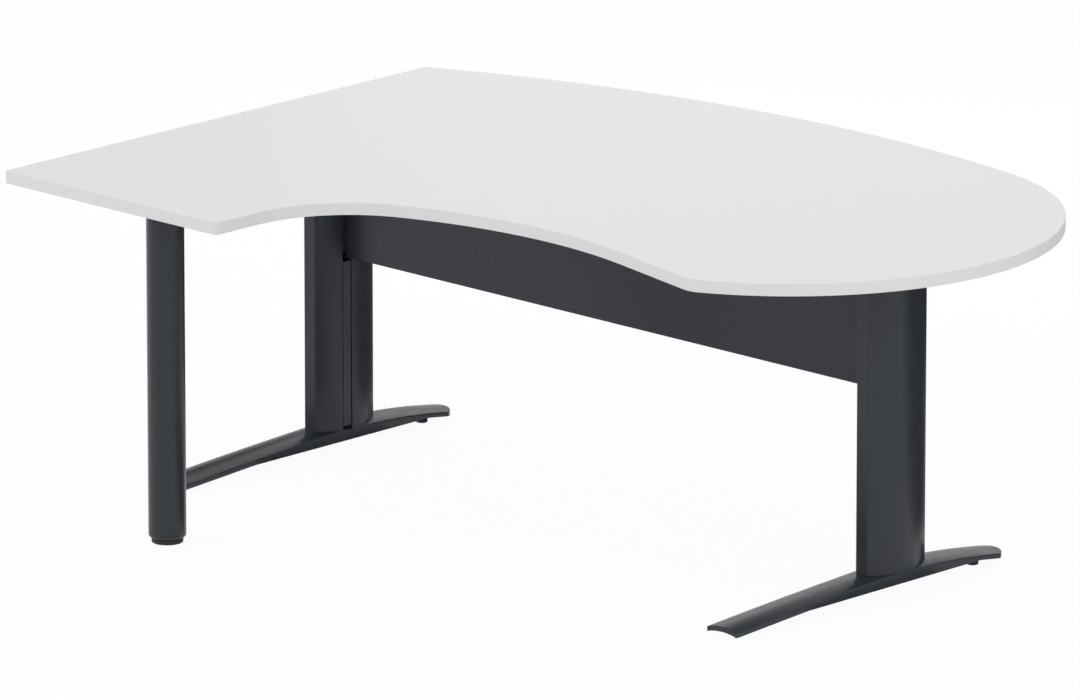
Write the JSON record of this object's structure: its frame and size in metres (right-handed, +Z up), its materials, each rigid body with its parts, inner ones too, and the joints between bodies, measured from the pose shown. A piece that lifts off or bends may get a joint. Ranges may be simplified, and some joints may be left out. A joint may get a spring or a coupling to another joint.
{
  "type": "office desk",
  "caption": "Freeform corner desk: a curved worktop on T-shaped column legs with arched feet and a round post, braced by a folded steel modesty panel.",
  "frame": {"origin": "on the floor, under the middle of the worktop's bounding rectangle", "axes": "+X along the modesty panel towards the round end, +Y away from the user towards the back edge, +Z up"},
  "size_m": [1.8999, 1.4174, 0.72],
  "materials": {
    "worktop_laminate": "light grey melamine, fine pearl texture, satin",
    "edge_band": "light grey plastic edge, fine grain",
    "frame_paint": "anthracite powder coat, fine texture, satin",
    "cover_plastic": "anthracite extruded plastic, satin",
    "black_plastic": "black moulded plastic",
    "zinc_plate": "zinc plated steel",
    "black_screw": "blackened steel",
    "spring_steel": "plain spring steel strip"
  },
  "bodies": {
    "desk_frame": {"worktop_board": "worktop_laminate", "worktop_edge_band": "edge_band", "modesty_panel": "frame_paint", "left_column": "frame_paint", "left_column_top_plate": "frame_paint", "left_column_base_plate": "frame_paint", "left_support_arm": "frame_paint", "left_arm_bolts": "zinc_plate", "left_arm_wood_screws": "zinc_plate", "left_cover_clips": "spring_steel", "left_panel_bracket": "frame_paint", "left_panel_screws": "black_screw", "left_foot": "frame_paint", "left_foot_saddle": "zinc_plate", "left_foot_bolts": "zinc_plate", "left_foot_inserts": "frame_paint", "right_column": "frame_paint", "right_column_top_plate": "frame_paint", "right_column_base_plate": "frame_paint", "right_support_arm": "frame_paint", "right_arm_bolts": "zinc_plate", "right_arm_wood_screws": "zinc_plate", "right_cover_clips": "spring_steel", "right_panel_bracket": "frame_paint", "right_panel_screws": "black_screw", "right_foot": "frame_paint", "right_foot_saddle": "zinc_plate", "right_foot_bolts": "zinc_plate", "right_foot_inserts": "frame_paint", "post_tube": "frame_paint", "post_top_plate": "frame_paint", "post_wood_screws": "zinc_plate", "post_bottom_plug": "black_plastic"},
    "left_cover": {"left_cable_cover": "cover_plastic"},
    "right_cover": {"right_cable_cover": "cover_plastic"},
    "left_front_pad": {"left_front_leveller_pad": "black_plastic"},
    "left_front_stem": {"left_front_leveller_stem": "zinc_plate"},
    "left_rear_pad": {"left_rear_leveller_pad": "black_plastic"},
    "left_rear_stem": {"left_rear_leveller_stem": "zinc_plate"},
    "right_front_pad": {"right_front_leveller_pad": "black_plastic"},
    "right_front_stem": {"right_front_leveller_stem": "zinc_plate"},
    "right_rear_pad": {"right_rear_leveller_pad": "black_plastic"},
    "right_rear_stem": {"right_rear_leveller_stem": "zinc_plate"},
    "post_pad": {"post_leveller_pad": "black_plastic"},
    "post_stem": {"post_leveller_stem": "zinc_plate"}
  },
  "joints": [
    {"name": "left_cover_pull", "type": "slide", "parent": "desk_frame", "child": "left_cover", "axis": [1, 0, 0], "range_m": [0, 0.045]},
    {"name": "right_cover_pull", "type": "slide", "parent": "desk_frame", "child": "right_cover", "axis": [-1, 0, 0], "range_m": [0, 0.045]},
    {"name": "left_front_pad_height", "type": "slide", "parent": "desk_frame", "child": "left_front_pad", "axis": [0, 0, -1], "range_m": [0, 0.006]},
    {"name": "left_front_stem_turn", "type": "hinge", "parent": "left_front_pad", "child": "left_front_stem", "pos_m": [-0.8615, -0.27383, 0], "axis": [0, 0, -1], "range_deg": [0, 1730]},
    {"name": "left_rear_pad_height", "type": "slide", "parent": "desk_frame", "child": "left_rear_pad", "axis": [0, 0, -1], "range_m": [0, 0.006]},
    {"name": "left_rear_stem_turn", "type": "hinge", "parent": "left_rear_pad", "child": "left_rear_stem", "pos_m": [-0.8615, 0.38817, 0], "axis": [0, 0, -1], "range_deg": [0, 1730]},
    {"name": "right_front_pad_height", "type": "slide", "parent": "desk_frame", "child": "right_front_pad", "axis": [0, 0, -1], "range_m": [0, 0.006]},
    {"name": "right_front_stem_turn", "type": "hinge", "parent": "right_front_pad", "child": "right_front_stem", "pos_m": [0.668, -0.27383, 0], "axis": [0, 0, -1], "range_deg": [0, 1730]},
    {"name": "right_rear_pad_height", "type": "slide", "parent": "desk_frame", "child": "right_rear_pad", "axis": [0, 0, -1], "range_m": [0, 0.006]},
    {"name": "right_rear_stem_turn", "type": "hinge", "parent": "right_rear_pad", "child": "right_rear_stem", "pos_m": [0.668, 0.38817, 0], "axis": [0, 0, -1], "range_deg": [0, 1730]},
    {"name": "post_pad_height", "type": "slide", "parent": "desk_frame", "child": "post_pad", "axis": [0, 0, -1], "range_m": [0, 0.015]},
    {"name": "post_stem_turn", "type": "hinge", "parent": "post_pad", "child": "post_stem", "pos_m": [-0.598, -0.60583, 0], "axis": [0, 0, -1], "range_deg": [0, 3602]}
  ],
  "couplings": [
    {"joint": "left_front_stem_turn", "follows": "left_front_pad_height", "rad_per_m": 5026.5},
    {"joint": "left_rear_stem_turn", "follows": "left_rear_pad_height", "rad_per_m": 5026.5},
    {"joint": "right_front_stem_turn", "follows": "right_front_pad_height", "rad_per_m": 5026.5},
    {"joint": "right_rear_stem_turn", "follows": "right_rear_pad_height", "rad_per_m": 5026.5},
    {"joint": "post_stem_turn", "follows": "post_pad_height", "rad_per_m": 4188.8}
  ]
}
